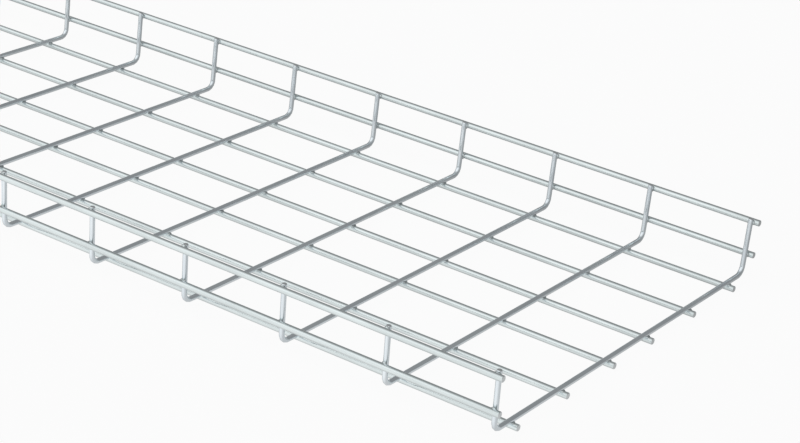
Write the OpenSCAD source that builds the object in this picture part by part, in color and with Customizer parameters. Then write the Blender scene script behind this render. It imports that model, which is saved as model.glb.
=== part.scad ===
// Wire basket cable tray, 400 wide and 60 deep, in a stock length.
// Ten straight long wires lie on the outside of a row of U-bent cross wires
// and are resistance welded to them at every crossing.
// +X runs along the tray, +Y across it, +Z up. The origin is at the middle
// of the footprint, on the underside of the floor wires.

/* [Tray] */
// Length over the cut ends of the long wires
tray_length = 3000; // [1000:10:3000]
// Number of bays between cross wires
bays = 30; // [10:1:30]
// How far the long wires run past the centre of the end cross wires
end_stub = 7; // [4:0.5:20]
// Width between the two corners of a cross wire, on its centreline
corner_width = 392; // [386:1:420]
// Lean of the side walls, outwards from upright
wall_lean = 2; // [0:0.5:6]

/* [Wires] */
// Diameter of the long wires
long_wire_d = 5.5; // [4.5:0.1:6]
// Diameter of the cross wires
cross_wire_d = 4.5; // [3.8:0.1:5.5]
// Depth that a weld sinks one wire into the other
weld_set_in = 0.5; // [0.1:0.1:0.8]
// Edge break left by cropping, at each cut end
crop_break = 0.4; // [0.1:0.1:1]

/* [Floor] */
// Gap between the two middle floor wires, centre to centre
middle_gap = 61; // [40:0.5:64]
// Gap between the other floor wires, centre to centre
floor_gap = 70.5; // [50:0.5:72]

/* [Side walls] */
// Height of the side wire's centre above the floor wires' centres
side_wire_height = 22.5; // [18:0.5:30]
// Height of the rim wire's centre above the floor wires' centres
rim_wire_height = 52.5; // [45:0.5:110]
// Radius of the corner bends, on the cross wire's centreline
bend_radius = 8; // [5:0.5:10]
// How much thinner the cross wire is drawn in a bend, on its diameter
bend_thinning = 0.06; // [0.04:0.02:0.2]
// How far the cross wires' cut ends stand above the rim wires
end_above_rim = 1; // [0:0.5:4]

/* [Hidden] */
$fn = 48;
long_r = long_wire_d / 2;
cross_r = cross_wire_d / 2;
cross_wires = bays + 1;
pitch = (tray_length - 2 * end_stub) / bays;

// Centre distance of two wires at a weld
weld_offset = long_r + cross_r - weld_set_in;

// Levels of the wires' centres, and of the cross wires' upper cut ends
floor_z = long_r;
cross_z = floor_z + weld_offset;
side_z = floor_z + side_wire_height;
rim_z = floor_z + rim_wire_height;
top_z = rim_z + long_r + end_above_rim;

// The corner bend turns the wire from level to the wall's slope
bend_angle = 90 - wall_lean;
// Degrees by which the drawn bend runs on inside the straight wire
bend_lap = 2.5;
run_half = corner_width / 2 - bend_radius * tan(bend_angle / 2);
leg_start_y = run_half + bend_radius * cos(wall_lean);
leg_start_z = cross_z + bend_radius * (1 - sin(wall_lean));
leg_length = (top_z - leg_start_z) / cos(wall_lean);

// Side and rim wires lie against the outside of the legs
function outside_y(z) = corner_width / 2
    + (z - cross_z) * tan(wall_lean) + weld_offset / cos(wall_lean);
function floor_y(i) = i < 3
    ? -middle_gap / 2 - (2 - i) * floor_gap
    : middle_gap / 2 + (i - 3) * floor_gap;
function cross_x(i) = -tray_length / 2 + end_stub + i * pitch;

// Centres of all long wires in the tray's section, as [y, z]
long_wire_centres = concat(
    [for (i = [0 : 5]) [floor_y(i), floor_z]],
    [for (side = [-1, 1], z = [side_z, rim_z]) [side * outside_y(z), z]]
);

function floor_name(i) = str("floor_wire_", i + 1);
function cross_name(i) = str("cross_wire_", i < 9 ? "0" : "", i + 1);

// Straight wire along Z from the origin, cropped square with broken edges
module cropped_wire(r, length) {
    rotate_extrude()
        polygon([
            [0, 0], [r - crop_break, 0], [r, crop_break],
            [r, length - crop_break], [r - crop_break, length], [0, length]
        ]);
}

// Upright end of a cross wire. Its foot is a full circle that meets the bend.
module cropped_leg(r, length) {
    rotate_extrude()
        polygon([
            [0, 0], [r, 0], [r, length - crop_break],
            [r - crop_break, length], [0, length]
        ]);
}

// One long wire at a height, centred along the tray
module long_wire(y, z) {
    translate([-tray_length / 2, y, z])
        rotate([0, 90, 0])
            cropped_wire(long_r, tray_length);
}

module rim_wire(side) {
    color([0.74, 0.77, 0.77])
        long_wire(side * outside_y(rim_z), rim_z);
}

module side_wire(side) {
    color([0.72, 0.75, 0.75])
        long_wire(side * outside_y(side_z), side_z);
}

module floor_wire(i) {
    color([0.70, 0.73, 0.74])
        long_wire(floor_y(i), floor_z);
}

// Corner bend and upright leg on the +Y side of a cross wire
module bend_and_leg() {
    translate([0, run_half, cross_z + bend_radius])
        rotate([90, 0, 90])
            rotate_extrude(angle = bend_angle + 2 * bend_lap, start = -90 - bend_lap)
                translate([bend_radius, 0])
                    circle(r = cross_r - bend_thinning / 2);
    translate([0, leg_start_y, leg_start_z])
        rotate([-wall_lean, 0, 0])
            cropped_leg(cross_r, leg_length);
}

// U-bent wire before welding
module bent_wire() {
    translate([0, -run_half, cross_z])
        rotate([-90, 0, 0])
            cylinder(h = 2 * run_half, r = cross_r);
    bend_and_leg();
    mirror([0, 1, 0])
        bend_and_leg();
}

// Seats that the welds leave in a cross wire, one for each long wire
module weld_seats() {
    for (centre = long_wire_centres)
        translate([0, centre.x, centre.y])
            rotate([0, 90, 0])
                cylinder(h = 3 * cross_wire_d, r = long_r, center = true);
}

module cross_wire(i) {
    color([0.62, 0.66, 0.70])
        translate([cross_x(i), 0, 0])
            difference() {
                bent_wire();
                weld_seats();
            }
}

rim_wire(-1);  // rim_wire_front
side_wire(-1);  // side_wire_front
for (i = [0 : 5])
    floor_wire(i);
side_wire(1);  // side_wire_back
rim_wire(1);  // rim_wire_back
for (i = [0 : cross_wires - 1])
    cross_wire(i);
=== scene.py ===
import logging
import math
from dataclasses import dataclass
from enum import Enum
from typing import Any, Sequence

import bpy
from mathutils import Matrix, Vector


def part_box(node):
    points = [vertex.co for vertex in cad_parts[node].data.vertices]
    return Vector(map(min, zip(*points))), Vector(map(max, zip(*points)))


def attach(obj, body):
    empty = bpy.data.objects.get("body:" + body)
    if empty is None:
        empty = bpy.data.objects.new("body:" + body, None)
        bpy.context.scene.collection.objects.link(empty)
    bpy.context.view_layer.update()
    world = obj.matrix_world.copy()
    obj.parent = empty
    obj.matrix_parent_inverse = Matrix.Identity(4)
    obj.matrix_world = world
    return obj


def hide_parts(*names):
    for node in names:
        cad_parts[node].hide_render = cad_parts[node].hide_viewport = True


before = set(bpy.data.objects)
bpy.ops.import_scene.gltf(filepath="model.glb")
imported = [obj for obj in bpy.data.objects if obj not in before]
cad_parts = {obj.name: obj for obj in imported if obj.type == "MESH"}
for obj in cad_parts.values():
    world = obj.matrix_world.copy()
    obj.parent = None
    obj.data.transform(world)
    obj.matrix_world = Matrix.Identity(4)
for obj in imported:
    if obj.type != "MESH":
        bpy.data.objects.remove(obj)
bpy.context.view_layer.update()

# Looks of a welded wire cable tray: galvanised long wires on the outside of a
# row of U-bent cross wires, with a weld at every crossing. Lengths are metres.

LOG = logging.getLogger("wire_tray")
MM = 0.001
SEED = 11
WALL_LEAN_DEGREES = 2.0
WHITE = (1.0, 1.0, 1.0, 1.0)

Socket = bpy.types.NodeSocket
Value = Any
Colour = tuple[float, float, float, float]
Groups = dict[str, bpy.types.NodeTree]


class Side(Enum):
    """The side wall that a wire or weld belongs to."""

    FRONT = -1
    BACK = 1


class WireRun(Enum):
    """The two ways that a wire runs in the tray."""

    ALONG = "long_wire"
    ACROSS = "cross_wire"


# ---------------------------------------------------------------- node writing


class TreeWriter:
    """Writes one node tree, node by node, with plain calls for common nodes."""

    def __init__(self, tree: bpy.types.NodeTree) -> None:
        """Starts on an empty tree.

        Args:
            tree: The geometry or shader tree to write.
        """
        self.tree = tree
        self.entry: bpy.types.Node | None = None
        self.exit: bpy.types.Node | None = None

    def node(
        self, kind: str, inputs: dict[int | str, Value] | None = None, **settings: Value
    ) -> bpy.types.Node:
        """Adds a node.

        Args:
            kind: The node's Blender type name.
            inputs: Input name or index to a value or to a socket that feeds it.
            settings: Properties of the node itself.

        Returns:
            The new node.
        """
        made = self.tree.nodes.new(kind)
        for name, value in settings.items():
            setattr(made, name, value)
        for name, value in (inputs or {}).items():
            self.feed(made.inputs[name], value)
        return made

    def feed(self, target: Socket, value: Value) -> None:
        """Gives an input a plain value, or links a socket into it.

        Args:
            target: The input socket.
            value: A socket to link, or a value to set.
        """
        if isinstance(value, bpy.types.NodeSocket):
            self.tree.links.new(value, target)
        else:
            target.default_value = value

    def math(self, operation: str, *values: Value, clamp: bool = False) -> Socket:
        """Adds a Math node and returns its result.

        Args:
            operation: The Math node's operation.
            values: One to three values or sockets.
            clamp: Whether the result is held between 0 and 1.

        Returns:
            The result socket.
        """
        made = self.node("ShaderNodeMath", dict(enumerate(values)), operation=operation)
        made.use_clamp = clamp
        return made.outputs[0]

    def vector(self, x: Value, y: Value, z: Value) -> Socket:
        """Joins three numbers into a vector socket."""
        return self.node("ShaderNodeCombineXYZ", {0: x, 1: y, 2: z}).outputs[0]

    def split(self, vector: Value) -> tuple[Socket, Socket, Socket]:
        """Splits a vector socket into its three numbers."""
        made = self.node("ShaderNodeSeparateXYZ", {0: vector})
        return made.outputs[0], made.outputs[1], made.outputs[2]

    def ramp(
        self, value: Value, low: float, high: float, to_low: float = 0.0, to_high: float = 1.0
    ) -> Socket:
        """Maps a range smoothly on to another and holds the ends.

        Args:
            value: The number to map.
            low: Where the range starts.
            high: Where the range ends.
            to_low: Result at and below the start.
            to_high: Result at and above the end.

        Returns:
            The mapped number.
        """
        limits = {"From Min": low, "From Max": high, "To Min": to_low, "To Max": to_high}
        made = self.node(
            "ShaderNodeMapRange", {"Value": value, **limits}, interpolation_type="SMOOTHSTEP"
        )
        return made.outputs["Result"]

    def noise(
        self, place: Value, scale: Value = 1.0, detail: float = 2.0, roughness: float = 0.5
    ) -> Socket:
        """Adds a noise over a place and returns its value around 0.5.

        Args:
            place: Where the noise is read.
            scale: How fine the noise is.
            detail: How many finer layers it adds.
            roughness: How strong the finer layers are.

        Returns:
            The noise's value.
        """
        looks = {"Scale": scale, "Detail": detail, "Roughness": roughness}
        return self.node("ShaderNodeTexNoise", {"Vector": place, **looks}).outputs[0]

    def mixed(self, amount: Value, first: Value, second: Value) -> Socket:
        """Mixes two colours by an amount and returns the colour."""
        made = self.node("ShaderNodeMix", {0: amount, 6: first, 7: second}, data_type="RGBA")
        return made.outputs[2]

    def bumped(self, height: Value, strength: float, distance: float) -> Socket:
        """Adds a Bump node and returns its normal.

        Args:
            height: The relief.
            strength: How much of the relief shows.
            distance: How deep the relief is.

        Returns:
            The normal.
        """
        sizes = {"Strength": strength, "Distance": distance, "Height": height}
        return self.node("ShaderNodeBump", sizes).outputs[0]


class ShapeTree(TreeWriter):
    """A Geometry Nodes tree with named sizes, made real and given a material at its end."""

    def __init__(self, name: str) -> None:
        """Starts a tree with one geometry output.

        Args:
            name: Name of the tree.
        """
        super().__init__(bpy.data.node_groups.new(name, "GeometryNodeTree"))
        sockets = self.tree.interface
        sockets.new_socket("Geometry", in_out="OUTPUT", socket_type="NodeSocketGeometry")
        sockets.new_socket("Material", in_out="INPUT", socket_type="NodeSocketMaterial")
        self.entry = self.tree.nodes.new("NodeGroupInput")
        self.exit = self.tree.nodes.new("NodeGroupOutput")

    def size(self, kind: str, name: str, default: Value) -> Socket:
        """Adds a named input.

        Args:
            kind: The input's socket type.
            name: The input's name.
            default: The value it has when none is given.

        Returns:
            The socket that carries the input's value.
        """
        made = self.tree.interface.new_socket(name, in_out="INPUT", socket_type=kind)
        made.default_value = default
        return self.entry.outputs[name]

    def number(self, name: str, default: float) -> Socket:
        """Adds a named number input and returns its socket."""
        return self.size("NodeSocketFloat", name, default)

    def count(self, name: str, default: int) -> Socket:
        """Adds a named whole-number input and returns its socket."""
        return self.size("NodeSocketInt", name, default)

    def place(self, name: str, default: Sequence[float]) -> Socket:
        """Adds a named vector input and returns its socket."""
        return self.size("NodeSocketVector", name, default)

    def end(self, geometry: Socket) -> None:
        """Makes the geometry real, smooth and dressed, and closes the tree.

        Args:
            geometry: The finished geometry, instances included.
        """
        real = self.node("GeometryNodeRealizeInstances", {"Geometry": geometry}).outputs[0]
        smooth = self.node("GeometryNodeSetShadeSmooth", {"Geometry": real}).outputs[0]
        dress = {"Geometry": smooth, "Material": self.entry.outputs["Material"]}
        dressed = self.node("GeometryNodeSetMaterial", dress).outputs[0]
        self.tree.links.new(dressed, self.exit.inputs[0])

    def make(self, name: str, material: bpy.types.Material, **sizes: Value) -> bpy.types.Object:
        """Evaluates the tree once with its own sizes and keeps the result as a plain mesh.

        Args:
            name: Name of the new piece.
            material: Material that the tree sets.
            sizes: Input values, with underscores for the spaces in the input names.

        Returns:
            A mesh object at the origin, with no modifier left on it.
        """
        carrier = bpy.data.objects.new(name + "_maker", bpy.data.meshes.new(name + "_maker"))
        bpy.context.scene.collection.objects.link(carrier)
        modifier = carrier.modifiers.new("shape", "NODES")
        modifier.node_group = self.tree
        sockets = {
            item.name: item.identifier
            for item in self.tree.interface.items_tree
            if item.item_type == "SOCKET" and item.in_out == "INPUT"
        }
        modifier[sockets["Material"]] = material
        for label, value in sizes.items():
            modifier[sockets[label.replace("_", " ")]] = value
        evaluated = carrier.evaluated_get(bpy.context.evaluated_depsgraph_get())
        mesh = bpy.data.meshes.new_from_object(evaluated)
        mesh.name = name
        bpy.data.objects.remove(carrier)
        piece = bpy.data.objects.new(name, mesh)
        bpy.context.scene.collection.objects.link(piece)
        return piece


# ------------------------------------------------------------------- finishes


def lin(red: int, green: int, blue: int) -> Colour:
    """Gives the linear colour of a display colour written 0 to 255.

    Args:
        red: Display red.
        green: Display green.
        blue: Display blue.

    Returns:
        Linear red, green and blue, with full alpha.
    """
    def one(level: int) -> float:
        """Gives one channel's linear value, by the sRGB curve."""
        part = level / 255.0
        return part / 12.92 if part <= 0.04045 else ((part + 0.055) / 1.055) ** 2.4

    return one(red), one(green), one(blue), 1.0


class SurfaceGroup(TreeWriter):
    """A shader node group with named inputs and outputs."""

    def __init__(
        self, name: str, inputs: dict[str, tuple[str, Value]], outputs: dict[str, str]
    ) -> None:
        """Starts a group.

        Args:
            name: Name of the group.
            inputs: Input name to its socket type and default.
            outputs: Output name to its socket type.
        """
        super().__init__(bpy.data.node_groups.new(name, "ShaderNodeTree"))
        for label, (kind, default) in inputs.items():
            made = self.tree.interface.new_socket(label, in_out="INPUT", socket_type=kind)
            if default is not None:
                made.default_value = default
        for label, kind in outputs.items():
            self.tree.interface.new_socket(label, in_out="OUTPUT", socket_type=kind)
        self.entry = self.tree.nodes.new("NodeGroupInput")
        self.exit = self.tree.nodes.new("NodeGroupOutput")

    def stretched(self, place: Value, along: Value, round_it: Value) -> Socket:
        """Scales a wire place apart along the wire and round it.

        Args:
            place: The wire place, with x along the wire.
            along: Scale along the wire.
            round_it: Scale in the wire's section.

        Returns:
            The scaled place.
        """
        x, y, z = self.split(place)
        scaled = [
            self.math("MULTIPLY", part, scale)
            for part, scale in ((x, along), (y, round_it), (z, round_it))
        ]
        return self.vector(*scaled)

    def give(self, **results: Socket) -> None:
        """Links results to the group's outputs, with underscores for spaces in their names."""
        for label, socket in results.items():
            self.tree.links.new(socket, self.exit.inputs[label.replace("_", " ")])


def zinc_bloom_group() -> bpy.types.NodeTree:
    """Builds the cloudy zinc coat: slow clouds along the wire, small spangle, and its relief.

    Returns:
        The group, with the wire's place as its first input.
    """
    group = SurfaceGroup(
        "zinc_bloom",
        {
            "Wire Place": ("NodeSocketVector", None),
            "Bright Zinc": ("NodeSocketColor", lin(214, 222, 222)),
            "Dull Zinc": ("NodeSocketColor", lin(190, 197, 196)),
            "Cloud Length": ("NodeSocketFloat", 0.05),
            "Spangle Size": ("NodeSocketFloat", 0.0022),
            "Spangle Share": ("NodeSocketFloat", 0.12),
            "Smooth Roughness": ("NodeSocketFloat", 0.24),
            "Dull Roughness": ("NodeSocketFloat", 0.38),
        },
        {"Color": "NodeSocketColor", "Roughness": "NodeSocketFloat", "Height": "NodeSocketFloat"},
    )
    get = group.entry.outputs
    place = get["Wire Place"]
    clouds_round_it = 140.0
    slow = group.math("DIVIDE", 1.0, get["Cloud Length"])
    cloudy = group.noise(
        group.stretched(place, slow, clouds_round_it), detail=4.0, roughness=0.6
    )
    clouds = group.ramp(cloudy, low=0.32, high=0.68)
    fine = group.math("DIVIDE", 1.0, get["Spangle Size"])
    spangle = group.ramp(group.noise(group.stretched(place, fine, fine)), low=0.35, high=0.65)
    amount = group.math("ADD", clouds, group.math("MULTIPLY", spangle, get["Spangle Share"]))
    whole = group.math("ADD", 1.0, get["Spangle Share"])
    amount = group.math("DIVIDE", amount, whole, clamp=True)
    rough_span = group.math("SUBTRACT", get["Dull Roughness"], get["Smooth Roughness"])
    rougher = group.math("MULTIPLY", amount, rough_span)
    group.give(
        Color=group.mixed(amount, get["Bright Zinc"], get["Dull Zinc"]),
        Roughness=group.math("ADD", get["Smooth Roughness"], rougher),
        Height=spangle,
    )
    return group.tree


def drawing_lines_group() -> bpy.types.NodeTree:
    """Builds the fine lines that the drawing die leaves along a wire.

    Returns:
        The group, with a line mask and its relief as outputs.
    """
    group = SurfaceGroup(
        "drawing_lines",
        {
            "Wire Place": ("NodeSocketVector", None),
            "Line Pitch": ("NodeSocketFloat", 0.0009),
            "Line Length": ("NodeSocketFloat", 0.12),
        },
        {"Lines": "NodeSocketFloat", "Height": "NodeSocketFloat"},
    )
    get = group.entry.outputs
    along = group.math("DIVIDE", 1.0, get["Line Length"])
    across = group.math("DIVIDE", 1.0, get["Line Pitch"])
    place = group.stretched(get["Wire Place"], along, across)
    raw = group.noise(place, detail=3.0, roughness=0.65)
    group.give(Lines=group.ramp(raw, low=0.52, high=0.72), Height=raw)
    return group.tree


def cropped_end_group() -> bpy.types.NodeTree:
    """Builds the mask of bare steel on a wire's cropped ends, with a ragged rim.

    Returns:
        The group, with the mask as its output.
    """
    group = SurfaceGroup(
        "cropped_end",
        {
            "Wire Place": ("NodeSocketVector", None),
            "End Distance": ("NodeSocketFloat", 1.0),
            "Bare Depth": ("NodeSocketFloat", 0.0004),
        },
        {"Bare": "NodeSocketFloat"},
    )
    get = group.entry.outputs
    ragged = group.noise(get["Wire Place"], scale=900.0)
    ragged_depth = group.math("MULTIPLY", ragged, get["Bare Depth"])
    half_depth = group.math("MULTIPLY", get["Bare Depth"], 0.5)
    depth = group.math("ADD", half_depth, ragged_depth)
    share = group.math("DIVIDE", get["End Distance"], depth)
    group.give(Bare=group.ramp(share, low=0.75, high=1.1, to_low=1.0, to_high=0.0))
    return group.tree


@dataclass(frozen=True)
class ZincFinish:
    """Bright zinc on drawn wire.

    The place that the patterns follow is the wire's own: its first number runs
    along the wire and the other two lie in its section.
    """

    name: str
    bright: Colour
    dull: Colour
    bare: Colour = lin(228, 232, 233)
    line_tint: Colour = lin(196, 203, 204)
    cloud_length: float = 0.06
    spangle: float = 0.0022
    roughness: tuple[float, float] = (0.1, 0.17)
    bare_roughness: float = 0.15
    line_strength: float = 0.2
    spangle_height: float = 0.5
    line_height: float = 0.8
    relief_strength: float = 0.1
    relief_depth: float = 0.00003

    def material(self, groups: Groups) -> bpy.types.Material:
        """Builds the finish from the shared groups.

        Args:
            groups: Group name to node group.

        Returns:
            The material.
        """
        made = bpy.data.materials.new(self.name)
        made.use_nodes = True
        tree = TreeWriter(made.node_tree)
        shader = made.node_tree.nodes["Principled BSDF"]
        place = tree.node("ShaderNodeAttribute", attribute_name="wire_place").outputs["Vector"]
        ends = tree.node("ShaderNodeAttribute", attribute_name="end_distance").outputs["Fac"]
        bloom = tree.node("ShaderNodeGroup", node_tree=groups["zinc_bloom"])
        for label, value in {
            "Wire Place": place,
            "Bright Zinc": self.bright,
            "Dull Zinc": self.dull,
            "Cloud Length": self.cloud_length,
            "Spangle Size": self.spangle,
            "Smooth Roughness": self.roughness[0],
            "Dull Roughness": self.roughness[1],
        }.items():
            tree.feed(bloom.inputs[label], value)
        lines = tree.node(
            "ShaderNodeGroup", {"Wire Place": place}, node_tree=groups["drawing_lines"]
        )
        crop = tree.node(
            "ShaderNodeGroup",
            {"Wire Place": place, "End Distance": ends},
            node_tree=groups["cropped_end"],
        )
        bare = crop.outputs["Bare"]
        line_share = tree.math("MULTIPLY", lines.outputs["Lines"], self.line_strength)
        lined = tree.mixed(line_share, bloom.outputs["Color"], self.line_tint)
        height = tree.math(
            "ADD",
            tree.math("MULTIPLY", bloom.outputs["Height"], self.spangle_height),
            tree.math("MULTIPLY", lines.outputs["Height"], self.line_height),
        )
        rougher = tree.math("MULTIPLY", bare, self.bare_roughness)
        rough = tree.math("ADD", bloom.outputs["Roughness"], rougher)
        relief = tree.bumped(height, self.relief_strength, self.relief_depth)
        tree.feed(shader.inputs["Base Color"], tree.mixed(bare, lined, self.bare))
        tree.feed(shader.inputs["Roughness"], rough)
        tree.feed(shader.inputs["Normal"], relief)
        shader.inputs["Metallic"].default_value = 1.0
        return made


@dataclass(frozen=True)
class WeldFinish:
    """Squeezed-out weld metal under zinc: bright beads with dull, slightly scorched hollows."""

    name: str = "weld_metal"
    bright: Colour = lin(216, 222, 222)
    scorched: Colour = lin(168, 174, 175)
    blot_scale: float = 420.0
    blot_range: tuple[float, float] = (0.38, 0.66)
    roughness: tuple[float, float] = (0.22, 0.5)
    relief_strength: float = 0.4
    relief_depth: float = 0.0002

    def material(self) -> bpy.types.Material:
        """Builds the weld metal.

        Returns:
            The material.
        """
        made = bpy.data.materials.new(self.name)
        made.use_nodes = True
        tree = TreeWriter(made.node_tree)
        shader = made.node_tree.nodes["Principled BSDF"]
        place = tree.node("ShaderNodeTexCoord").outputs["Object"]
        blot = tree.noise(place, self.blot_scale, detail=3.0, roughness=0.6)
        amount = tree.ramp(blot, *self.blot_range)
        relief = tree.bumped(blot, self.relief_strength, self.relief_depth)
        tree.feed(shader.inputs["Base Color"], tree.mixed(amount, self.bright, self.scorched))
        tree.feed(shader.inputs["Roughness"], tree.ramp(amount, 0.0, 1.0, *self.roughness))
        tree.feed(shader.inputs["Normal"], relief)
        shader.inputs["Metallic"].default_value = 1.0
        return made


# ------------------------------------------------------------------ wire shapes


class WireTree(ShapeTree):
    """A tree that draws round wire along a path, with cropped ends whose edges are broken."""

    edge_stations = 4.0

    def __init__(self, name: str) -> None:
        """Starts the tree with the sizes that every wire has.

        Args:
            name: Name of the tree.
        """
        super().__init__(name)
        self.radius = self.number("Wire Radius", 2.5 * MM)
        self.edge_break = self.number("Edge Break", 0.4 * MM)
        self.sides = self.count("Sides", 20)
        self.stations = self.count("Stations", 60)
        self.shift = self.number("Pattern Shift", 0.0)

    def spread(self, length: Socket) -> tuple[Socket, Socket, Socket]:
        """Spreads the stations over the wire.

        They crowd together over the broken edge at each end, where the section
        shrinks on a quarter round.

        Args:
            length: The wire's length.

        Returns:
            Each station's place along the wire, its distance from the nearer
            end and the radius of its section.
        """
        crowd = self.edge_stations
        index = self.node("GeometryNodeInputIndex").outputs[0]
        last = self.math("SUBTRACT", self.stations, 1.0)
        from_end = self.math("MINIMUM", index, self.math("SUBTRACT", last, index))
        edge_share = self.math("DIVIDE", from_end, crowd, clamp=True)
        turn = self.math("MULTIPLY", edge_share, math.pi / 2)
        half_count = self.math("DIVIDE", last, 2.0)
        inner = self.math(
            "DIVIDE",
            self.math("SUBTRACT", from_end, crowd),
            self.math("SUBTRACT", half_count, crowd),
            clamp=True,
        )
        half_length = self.math("DIVIDE", length, 2.0)
        inner_length = self.math("SUBTRACT", half_length, self.edge_break)
        sunk = self.math("SUBTRACT", 1.0, self.math("COSINE", turn))
        shrunk = self.math("SUBTRACT", 1.0, self.math("SINE", turn))
        distance = self.math(
            "ADD",
            self.math("MULTIPLY", self.edge_break, sunk),
            self.math("MULTIPLY", inner, inner_length),
        )
        far_half = self.math("GREATER_THAN", index, half_count)
        near_half = self.math("SUBTRACT", 1.0, far_half)
        mirrored = self.math("SUBTRACT", length, distance)
        along = self.math(
            "ADD",
            self.math("MULTIPLY", far_half, mirrored),
            self.math("MULTIPLY", near_half, distance),
        )
        lost = self.math("MULTIPLY", self.edge_break, shrunk)
        return along, distance, self.math("SUBTRACT", self.radius, lost)

    def draw_wire(self, path: Socket) -> Socket:
        """Draws the wire along a path.

        Args:
            path: The wire's centre line.

        Returns:
            The wire's mesh, with its wire place and end distance stored.
        """
        length = self.node("GeometryNodeCurveLength", {"Curve": path}).outputs[0]
        row = self.node("GeometryNodeMeshLine", {"Count": self.stations}).outputs[0]
        along, distance, section = self.spread(length)
        named = self.store(row, "along", along)
        named = self.store(named, "end_distance", distance)
        named = self.store(named, "section", section)
        sample = self.node("GeometryNodeSampleCurve", {"Curves": path}, mode="LENGTH")
        self.feed(sample.inputs["Length"], self.named("along"))
        spots = {"Geometry": named, "Position": sample.outputs["Position"]}
        placed = self.node("GeometryNodeSetPosition", spots).outputs[0]
        line = self.node("GeometryNodeMeshToCurve", {"Mesh": placed}).outputs[0]
        round_line = {"Resolution": self.sides, "Radius": 1.0}
        ring = self.node("GeometryNodeCurvePrimitiveCircle", round_line).outputs[0]
        spot = self.node("GeometryNodeInputPosition").outputs[0]
        ring = self.store(ring, "ring", spot, "FLOAT_VECTOR")
        sweep = {"Curve": line, "Profile Curve": ring, "Scale": self.named("section")}
        swept = self.node("GeometryNodeCurveToMesh", {**sweep, "Fill Caps": True}).outputs[0]
        ring_x, ring_y, _ = self.split(self.named("ring", "FLOAT_VECTOR"))
        place = self.vector(
            self.math("ADD", self.named("along"), self.shift),
            self.math("MULTIPLY", ring_x, self.named("section")),
            self.math("MULTIPLY", ring_y, self.named("section")),
        )
        swept = self.store(swept, "wire_place", place, "FLOAT_VECTOR")
        for spare in ("along", "ring", "section"):
            spared = {"Geometry": swept, "Name": spare}
            swept = self.node("GeometryNodeRemoveAttribute", spared).outputs[0]
        return swept

    def store(self, geometry: Socket, name: str, value: Socket, kind: str = "FLOAT") -> Socket:
        """Stores a named attribute on points and returns the geometry."""
        made = self.node(
            "GeometryNodeStoreNamedAttribute",
            {"Geometry": geometry, "Name": name},
            data_type=kind,
            domain="POINT",
        )
        self.feed(made.inputs["Value"], value)
        return made.outputs[0]

    def named(self, name: str, kind: str = "FLOAT") -> Socket:
        """Reads a named attribute."""
        made = self.node("GeometryNodeInputNamedAttribute", {"Name": name}, data_type=kind)
        return made.outputs[0]


class StraightWireTree(WireTree):
    """Straight wire between two points."""

    def __init__(self) -> None:
        """Writes the tree."""
        super().__init__("straight_wire")
        start = self.place("Start", (-1.0, 0.0, 0.0))
        finish = self.place("End", (1.0, 0.0, 0.0))
        ends = {"Start": start, "End": finish}
        path = self.node("GeometryNodeCurvePrimitiveLine", ends).outputs[0]
        self.end(self.draw_wire(path))


class BentWireTree(WireTree):
    """U-bent wire: a level run, a round bend at each corner and two legs that lean out."""

    path_points = 4
    bend_steps = 24

    def __init__(self) -> None:
        """Writes the tree."""
        super().__init__("bent_wire")
        where = self.number("Place", 0.0)
        corner = self.number("Corner Half Width", 196 * MM)
        level = self.number("Floor Level", 7.25 * MM)
        top = self.number("Top Level", 59 * MM)
        lean = self.number("Lean Out", 1.8 * MM)
        bend = self.number("Bend Radius", 8 * MM)
        row = self.node("GeometryNodeMeshLine", {"Count": self.path_points}).outputs[0]
        index = self.node("GeometryNodeInputIndex").outputs[0]
        half_way = (self.path_points - 1) / 2
        right = self.math("GREATER_THAN", index, half_way)
        side = self.math("SUBTRACT", self.math("MULTIPLY", right, 2.0), 1.0)
        from_middle = self.math("ABSOLUTE", self.math("SUBTRACT", index, half_way))
        is_corner = self.math("LESS_THAN", from_middle, 1.0)
        is_top = self.math("SUBTRACT", 1.0, is_corner)
        out = self.math("ADD", corner, self.math("MULTIPLY", is_top, lean))
        rise = self.math("MULTIPLY", is_top, self.math("SUBTRACT", top, level))
        across, height = self.math("MULTIPLY", side, out), self.math("ADD", level, rise)
        spots = {"Geometry": row, "Position": self.vector(where, across, height)}
        placed = self.node("GeometryNodeSetPosition", spots).outputs[0]
        sharp = self.node("GeometryNodeMeshToCurve", {"Mesh": placed}).outputs[0]
        rounding = {"Curve": sharp, "Radius": bend}
        fillet = self.node("GeometryNodeFilletCurve", rounding, mode="POLY")
        self.feed(fillet.inputs["Count"], self.bend_steps)
        self.end(self.draw_wire(fillet.outputs[0]))


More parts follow.
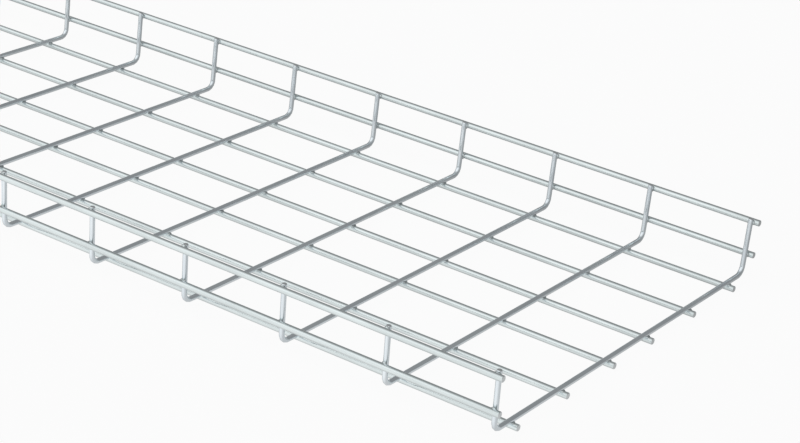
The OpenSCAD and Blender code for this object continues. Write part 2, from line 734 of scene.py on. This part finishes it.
class WeldTree(ShapeTree):
    """A row of squeezed-out weld beads along one long wire."""

    bead_subdivisions = 2
    smallest = (0.82, 0.82, 0.8)
    largest = (1.18, 1.15, 1.15)
    ragged_scale = 330.0

    def __init__(self) -> None:
        """Writes the tree."""
        super().__init__("weld_row")
        start = self.place("Start", (0.0, 0.0, 0.0))
        pitch = self.number("Pitch", 100 * MM)
        welds = self.count("Welds", 31)
        tilt = self.number("Tilt", 0.0)
        spread = self.place("Bead Size", (3.6 * MM, 3.4 * MM, 1.3 * MM))
        ragged = self.number("Raggedness", 0.6 * MM)
        step = self.vector(pitch, 0.0, 0.0)
        spots = {"Count": welds, "Start Location": start, "Offset": step}
        row = self.node("GeometryNodeMeshLine", spots).outputs[0]
        ball = {"Radius": 1.0, "Subdivisions": self.bead_subdivisions}
        bead = self.node("GeometryNodeMeshIcoSphere", ball).outputs[0]
        swell = self.node("FunctionNodeRandomValue", data_type="FLOAT_VECTOR")
        for socket, value in ((0, self.smallest), (1, self.largest), ("Seed", SEED)):
            self.feed(swell.inputs[socket], value)
        sizes = {0: spread, 1: swell.outputs[0]}
        size = self.node("ShaderNodeVectorMath", sizes, operation="MULTIPLY").outputs[0]
        euler = {"Euler": self.vector(tilt, 0.0, 0.0)}
        turn = self.node("FunctionNodeEulerToRotation", euler).outputs[0]
        spread_out = {"Points": row, "Instance": bead, "Rotation": turn, "Scale": size}
        beads = self.node("GeometryNodeInstanceOnPoints", spread_out).outputs[0]
        real = self.node("GeometryNodeRealizeInstances", {"Geometry": beads}).outputs[0]
        spot = self.node("GeometryNodeInputPosition").outputs[0]
        rough = self.math("SUBTRACT", self.noise(spot, self.ragged_scale), 0.5)
        push = self.math("MULTIPLY", rough, self.math("MULTIPLY", ragged, 2.0))
        normal = self.node("GeometryNodeInputNormal").outputs[0]
        offset = self.node("ShaderNodeVectorMath", {0: normal}, operation="SCALE")
        self.feed(offset.inputs["Scale"], push)
        pushed = {"Geometry": real, "Offset": offset.outputs[0]}
        self.end(self.node("GeometryNodeSetPosition", pushed).outputs[0])


# --------------------------------------------------------------- sub-assemblies


@dataclass
class TrayWire:
    """What every wire of the tray has: its node, its thickness and its cropped ends."""

    node: str
    diameter: float
    edge_break: float = 0.55 * MM
    sides: int = 24
    stations: int = 69
    shift_step: float = 0.377
    shift_wrap: float = 19.0

    def corners(self) -> tuple[Vector, Vector]:
        """Gives the lowest and highest corners of the wire's node."""
        low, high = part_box(self.node)
        return Vector(low), Vector(high)

    def pattern_shift(self) -> float:
        """Gives a length that keeps this wire's clouds apart from its neighbours'."""
        letters = sum(ord(letter) * (place + 1) for place, letter in enumerate(self.node))
        return (letters * self.shift_step) % self.shift_wrap

    def common(self) -> dict[str, Value]:
        """Gives the sizes that both wire trees ask for."""
        return {
            "Wire_Radius": self.diameter / 2,
            "Edge_Break": self.edge_break,
            "Sides": self.sides,
            "Stations": self.stations,
            "Pattern_Shift": self.pattern_shift(),
        }

    def settle(self, piece: bpy.types.Object, run: WireRun) -> bpy.types.Object:
        """Puts a finished wire in the place of its node.

        Args:
            piece: The wire's mesh object.
            run: Which way the wire runs; it is not used.

        Returns:
            The same piece.
        """
        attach(piece, "root")
        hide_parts(self.node)
        LOG.info("%s: %d faces", piece.name, len(piece.data.polygons))
        return piece


@dataclass
class LongWire(TrayWire):
    """Straight wire along the tray, on the outside of the cross wires."""

    diameter: float = 5.5 * MM

    def build(self, tree: StraightWireTree, material: bpy.types.Material) -> bpy.types.Object:
        """Builds the wire.

        Args:
            tree: The straight wire's tree.
            material: Its finish.

        Returns:
            The wire, in place of its node.
        """
        low, high = self.corners()
        middle = (low + high) / 2
        piece = tree.make(
            self.node + "_drawn",
            material,
            Start=(low.x, middle.y, middle.z),
            End=(high.x, middle.y, middle.z),
            **self.common(),
        )
        return self.settle(piece, WireRun.ALONG)


@dataclass
class CrossWire(TrayWire):
    """Wire across the tray, bent to a U whose legs lean out."""

    diameter: float = 4.5 * MM
    edge_break: float = 0.8 * MM
    sides: int = 20
    stations: int = 161
    corner_width: float = 392 * MM
    bend_radius: float = 8 * MM
    lean_degrees: float = WALL_LEAN_DEGREES
    top_level: float = 59 * MM

    def build(self, tree: BentWireTree, material: bpy.types.Material) -> bpy.types.Object:
        """Builds the wire.

        Args:
            tree: The bent wire's tree.
            material: Its finish.

        Returns:
            The wire, in place of its node.
        """
        low, high = self.corners()
        level = low.z + self.diameter / 2
        lean = (self.top_level - level) * math.tan(math.radians(self.lean_degrees))
        piece = tree.make(
            self.node + "_bent",
            material,
            Place=(low.x + high.x) / 2,
            Corner_Half_Width=self.corner_width / 2,
            Floor_Level=level,
            Top_Level=self.top_level,
            Lean_Out=lean,
            Bend_Radius=self.bend_radius,
            **self.common(),
        )
        return self.settle(piece, WireRun.ACROSS)


@dataclass
class WeldRow:
    """Weld beads along one long wire, one where each cross wire meets it."""

    long_wire: LongWire
    first: CrossWire
    last: CrossWire
    count: int
    wall: Side | None = None
    lean_degrees: float = WALL_LEAN_DEGREES
    set_in: float = 0.5 * MM
    bead: tuple[float, float, float] = (3.5 * MM, 3.3 * MM, 1.2 * MM)

    def turn(self) -> float:
        """Gives the angle by which the row is turned about the long wire, in radians."""
        if self.wall is None:
            return 0.0
        return self.wall.value * math.radians(90.0 - self.lean_degrees)

    def build(self, tree: WeldTree, material: bpy.types.Material) -> bpy.types.Object:
        """Builds the beads.

        Args:
            tree: The weld row's tree.
            material: The weld metal.

        Returns:
            The beads as one piece.
        """
        low, high = self.long_wire.corners()
        middle = (low + high) / 2
        start_low, start_high = self.first.corners()
        end_low, end_high = self.last.corners()
        start = (start_low.x + start_high.x) / 2
        pitch = ((end_low.x + end_high.x) / 2 - start) / (self.count - 1)
        reach = self.long_wire.diameter / 2 - self.set_in / 2
        turn = self.turn()
        touch = Vector((0.0, -math.sin(turn) * reach, math.cos(turn) * reach))
        piece = tree.make(
            self.long_wire.node + "_welds",
            material,
            Start=(start, middle.y + touch.y, middle.z + touch.z),
            Pitch=pitch,
            Welds=self.count,
            Tilt=turn,
            Bead_Size=self.bead,
        )
        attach(piece, "root")
        LOG.info("%s: %d faces", piece.name, len(piece.data.polygons))
        return piece


@dataclass
class WireTray:
    """The whole welded tray."""

    floor_wires: int = 6
    cross_wires: int = 31
    along: ZincFinish = ZincFinish("bright_zinc_along", lin(230, 237, 237), lin(217, 224, 224))
    across: ZincFinish = ZincFinish(
        "bright_zinc_across",
        lin(241, 247, 250),
        lin(227, 234, 239),
        spangle=0.0018,
        roughness=(0.07, 0.13),
    )
    weld: WeldFinish = WeldFinish()

    def long_wires(self) -> list[tuple[LongWire, Side | None]]:
        """Lists the long wires from front to back, each with its wall if it has one."""
        front = [(LongWire(f"{name}_front"), Side.FRONT) for name in ("rim_wire", "side_wire")]
        floor = [(LongWire(f"floor_wire_{i + 1}"), None) for i in range(self.floor_wires)]
        back = [(LongWire(f"{name}_back"), Side.BACK) for name in ("side_wire", "rim_wire")]
        return front + floor + back

    def build(self) -> list[bpy.types.Object]:
        """Builds every wire and every weld.

        Returns:
            The pieces, in the order they were made.
        """
        groups = {
            "zinc_bloom": zinc_bloom_group(),
            "drawing_lines": drawing_lines_group(),
            "cropped_end": cropped_end_group(),
        }
        along, across = self.along.material(groups), self.across.material(groups)
        weld = self.weld.material()
        straight, bent, row = StraightWireTree(), BentWireTree(), WeldTree()
        crossing = [CrossWire(f"cross_wire_{i + 1:02d}") for i in range(self.cross_wires)]
        made = [wire.build(bent, across) for wire in crossing]
        for wire, wall in self.long_wires():
            made.append(wire.build(straight, along))
            welds = WeldRow(wire, crossing[0], crossing[-1], self.cross_wires, wall)
            made.append(welds.build(row, weld))
        return made


# ----------------------------------------------------------------------- studio


@dataclass(frozen=True)
class Camera:
    """Where the tray is seen from."""

    place: tuple[float, float, float] = (2.2288, -1.4665, 0.8044)
    look: tuple[float, float, float] = (-0.504, 0.7662, -0.3988)
    roll_degrees: float = 5.65
    lens: float = 101.8
    sensor: float = 36.0
    clip: tuple[float, float] = (0.05, 60.0)

    def build(self) -> bpy.types.Object:
        """Builds the camera and makes it the scene's own.

        Returns:
            The camera.
        """
        data = bpy.data.cameras.new("tray_camera")
        data.lens, data.sensor_width = self.lens, self.sensor
        data.clip_start, data.clip_end = self.clip
        camera = bpy.data.objects.new("tray_camera", data)
        bpy.context.scene.collection.objects.link(camera)
        forward = Vector(self.look).normalized()
        level = forward.cross(Vector((0.0, 0.0, 1.0))).normalized()
        roll = math.radians(self.roll_degrees)
        right = level * math.cos(roll) + level.cross(forward) * math.sin(roll)
        up = right.cross(forward)
        turn = Matrix((right, up, -forward)).transposed()
        camera.matrix_world = Matrix.Translation(self.place) @ turn.to_4x4()
        bpy.context.scene.camera = camera
        return camera


@dataclass(frozen=True)
class Studio:
    """Pale floor with a painted glow that only reflections see, soft sky and one soft lamp."""

    floor_size: float = 30.0
    floor_paint: Colour = (0.96, 0.96, 0.96, 1.0)
    floor_white: float = 0.93
    # The next four settings paint a glow on the floor that only glossy rays see: a painted
    # reflection for the wires, brighter at the front and dimmer at the back.
    reflection_glow_share: float = 0.5
    sheet_front: float = 1.0
    sheet_back: float = 0.45
    reflection_glow_fall: tuple[float, float] = (-0.28, 0.30)
    sky_tint: Colour = (0.97, 0.99, 1.0, 1.0)
    sky_low: float = 0.29
    sky_high: float = 1.0
    sky_fall: tuple[float, float] = (-0.35, 1.0)
    key_direction: tuple[float, float, float] = (-0.25, -0.93, 0.10)
    lamp_place: tuple[float, float, float] = (-1.6, -2.2, 3.2)
    lamp_size: tuple[float, float] = (4.0, 3.0)
    lamp_power: float = 6.0

    def sky(self) -> None:
        """Builds the sky: white behind the tray, brighter towards the key light for all else."""
        world = bpy.data.worlds.new("studio_sky")
        world.use_nodes = True
        bpy.context.scene.world = world
        world.node_tree.nodes.clear()
        tree = TreeWriter(world.node_tree)
        way = tree.node("ShaderNodeTexCoord").outputs["Generated"]
        key = tuple(Vector(self.key_direction).normalized())
        towards = tree.node("ShaderNodeVectorMath", {0: way, 1: key}, operation="DOT_PRODUCT")
        level = tree.ramp(
            towards.outputs["Value"], *self.sky_fall, to_low=self.sky_low, to_high=self.sky_high
        )
        soft = tree.node("ShaderNodeBackground", {"Color": self.sky_tint, "Strength": level})
        white = tree.node("ShaderNodeBackground", {"Color": WHITE, "Strength": 1.0})
        seen = tree.node("ShaderNodeLightPath").outputs["Is Camera Ray"]
        either = {0: seen, 1: soft.outputs[0], 2: white.outputs[0]}
        both = tree.node("ShaderNodeMixShader", either).outputs[0]
        tree.node("ShaderNodeOutputWorld", {"Surface": both})

    def floor_material(self) -> bpy.types.Material:
        """Builds the pale floor's paint, with a painted glow that only the wires' reflections
        see.

        Returns:
            The material.
        """
        made = bpy.data.materials.new("pale_floor")
        made.use_nodes = True
        made.node_tree.nodes.clear()
        tree = TreeWriter(made.node_tree)
        path = tree.node("ShaderNodeLightPath").outputs
        paint = tree.node("ShaderNodeBsdfDiffuse", {"Color": self.floor_paint}).outputs[0]
        glow = tree.node("ShaderNodeEmission", {"Color": WHITE, "Strength": 1.0}).outputs[0]
        share = tree.math("MULTIPLY", path["Is Camera Ray"], self.floor_white)
        seen = tree.node("ShaderNodeMixShader", {0: share, 1: paint, 2: glow}).outputs[0]
        # Painted reflection: for glossy rays the floor glows, brighter at the front and dimmer at
        # the back, half mixed with clear so that the sky below shows through. The wires mirror
        # this painted glow, not a lit floor.
        _, depth, _ = tree.split(tree.node("ShaderNodeTexCoord").outputs["Object"])
        reflection_glow_level = tree.ramp(
            depth, *self.reflection_glow_fall, to_low=self.sheet_front, to_high=self.sheet_back
        )
        painted_reflection_glow = tree.node("ShaderNodeEmission", {"Color": WHITE, "Strength": reflection_glow_level}).outputs[0]
        clear = tree.node("ShaderNodeBsdfTransparent").outputs[0]
        part = {0: self.reflection_glow_share, 1: clear, 2: painted_reflection_glow}
        mirrored = tree.node("ShaderNodeMixShader", part).outputs[0]
        either = {0: path["Is Glossy Ray"], 1: seen, 2: mirrored}
        both = tree.node("ShaderNodeMixShader", either).outputs[0]
        tree.node("ShaderNodeOutputMaterial", {"Surface": both})
        return made

    def floor(self) -> bpy.types.Object:
        """Builds the pale floor, which keeps a soft shadow.

        Returns:
            The floor.
        """
        half = self.floor_size / 2
        corners = [(-half, -half, 0), (half, -half, 0), (half, half, 0), (-half, half, 0)]
        mesh = bpy.data.meshes.new("studio_floor")
        mesh.from_pydata(corners, [], [(0, 1, 2, 3)])
        floor = bpy.data.objects.new("studio_floor", mesh)
        bpy.context.scene.collection.objects.link(floor)
        mesh.materials.append(self.floor_material())
        return floor

    def lamp(self) -> bpy.types.Object:
        """Builds the large soft lamp at the front left.

        Returns:
            The lamp.
        """
        data = bpy.data.lights.new("soft_box", "AREA")
        data.shape = "RECTANGLE"
        data.size, data.size_y = self.lamp_size
        data.energy = self.lamp_power
        lamp = bpy.data.objects.new("soft_box", data)
        bpy.context.scene.collection.objects.link(lamp)
        place = Vector(self.lamp_place)
        turn = (-place).to_track_quat("-Z", "Y").to_matrix()
        lamp.matrix_world = Matrix.Translation(place) @ turn.to_4x4()
        return lamp

    def build(self) -> None:
        """Builds the studio and sets how its light is shown."""
        bpy.context.scene.view_settings.view_transform = "Standard"
        self.sky()
        self.floor()
        self.lamp()


def main() -> None:
    """Builds the camera, the tray and the studio."""
    logging.basicConfig(level=logging.INFO, format="%(name)s: %(message)s")
    Camera().build()
    pieces = WireTray().build()
    Studio().build()
    LOG.info("%d pieces", len(pieces))


if __name__ == "__main__":
    main()
